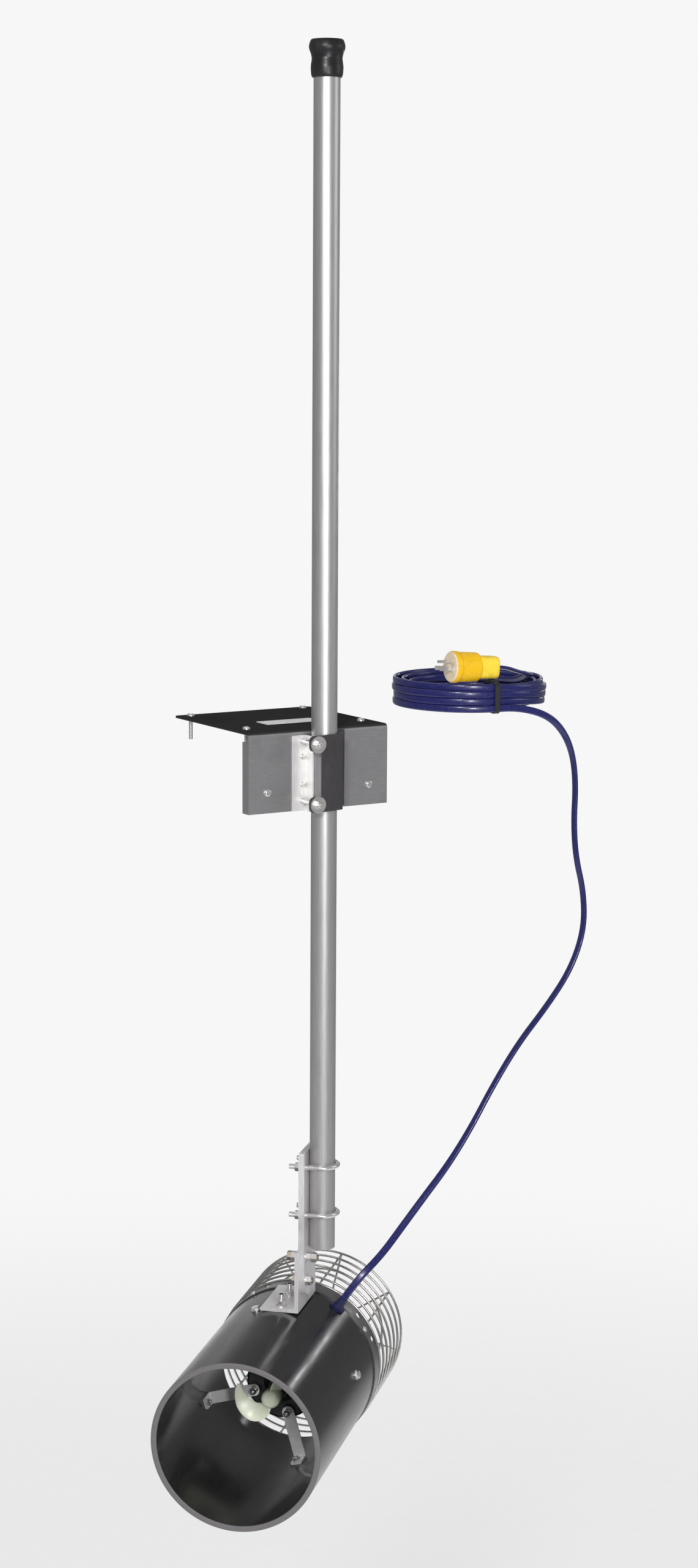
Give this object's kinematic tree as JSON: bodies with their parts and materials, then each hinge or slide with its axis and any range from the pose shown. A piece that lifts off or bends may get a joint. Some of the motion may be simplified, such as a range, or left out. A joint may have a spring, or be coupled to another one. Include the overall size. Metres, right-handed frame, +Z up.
{
  "type": "dock-mounted water circulator",
  "caption": "Ducted electric water mover on a height-adjustable pole, clamped to a dock-edge bracket, with a swivelling head, wire intake guard, supply cord, coil and plug.",
  "frame": {"origin": "centre of the four deck screws, on the underside of the deck flange", "axes": "+Z up along the pole, +Y from the dock's edge into the deck, +X along the dock's edge, to the right seen from the water"},
  "size_m": [0.8851, 0.5991, 2.289],
  "materials": {
    "bracket_steel": "brushed",
    "bright_steel": "satin",
    "hardware": "satin",
    "brass_bolt": "satin",
    "pole_metal": "brushed",
    "black_vinyl": "satin",
    "pipe_plastic": "gloss",
    "plate": "satin",
    "nylon": "satin",
    "core_steel": "matt",
    "black_rubber": "matt",
    "blue_jacket": "gloss",
    "yellow_plastic": "satin",
    "cream_plastic": "satin"
  },
  "bodies": {
    "dock_mount": {"dock_bracket": "bracket_steel", "deck_screws": "hardware", "face_screws": "hardware", "label_plate": "plate", "pole_guide": "bright_steel", "guide_screws": "hardware", "guide_nuts": "hardware", "clamp_jaw": "bracket_steel", "clamp_bolts": "hardware", "clamp_washers": "hardware", "clamp_nuts": "hardware", "jaw_screws": "hardware", "jaw_nuts": "hardware", "cord_upper": "blue_jacket", "cord_coil": "blue_jacket", "coil_tie": "black_rubber", "plug_body": "yellow_plastic", "plug_face": "cream_plastic", "plug_tail": "yellow_plastic", "plug_blades": "hardware", "plug_ground_pin": "hardware", "plug_lead": "blue_jacket"},
    "sliding_pole": {"pole": "pole_metal", "pole_cap": "black_vinyl"},
    "head": {"mount_bar": "bracket_steel", "mount_angle": "bracket_steel", "bar_bolts": "brass_bolt", "bar_washers": "hardware", "bar_nuts": "hardware", "u_bolts": "hardware", "u_bolt_washers": "hardware", "u_bolt_nuts": "hardware", "foot_bolts": "hardware", "foot_washers": "hardware", "foot_nuts": "hardware", "housing_tube": "pipe_plastic", "motor_struts": "bright_steel", "strut_bolts": "hardware", "strut_nuts": "hardware", "front_bell": "core_steel", "motor_can": "bright_steel", "rear_bell": "core_steel", "tie_bolts": "hardware", "acorn_nuts": "hardware", "stator": "core_steel", "front_bearing": "hardware", "rear_bearing": "hardware", "shaft_seal": "black_rubber", "motor_gland": "black_rubber", "motor_lead": "blue_jacket", "cord_bushing": "black_rubber", "guard_band": "bright_steel", "guard_rings": "bright_steel", "guard_rods": "bright_steel", "guard_screws": "hardware", "cord_lower": "blue_jacket"},
    "rotor": {"motor_shaft": "hardware", "rotor_core": "core_steel", "shear_pin": "hardware", "propeller": "nylon"}
  },
  "joints": [
    {"name": "pole_height", "type": "slide", "parent": "dock_mount", "child": "sliding_pole", "axis": [0, 0, 1], "range_m": [-0.98, 0.53], "deforming": ["cord_upper"]},
    {"name": "head_swivel", "type": "hinge", "parent": "sliding_pole", "child": "head", "pos_m": [-0.0027, -0.161, -0.76], "axis": [0, 0, 1], "range_deg": [-60, 60], "deforming": ["cord_lower"]},
    {"name": "propeller_spin", "type": "hinge", "parent": "head", "child": "rotor", "pos_m": [-0.25008, -0.31622, -1.08333], "axis": [0.7009, 0.7132, 0], "continuous": true}
  ]
}
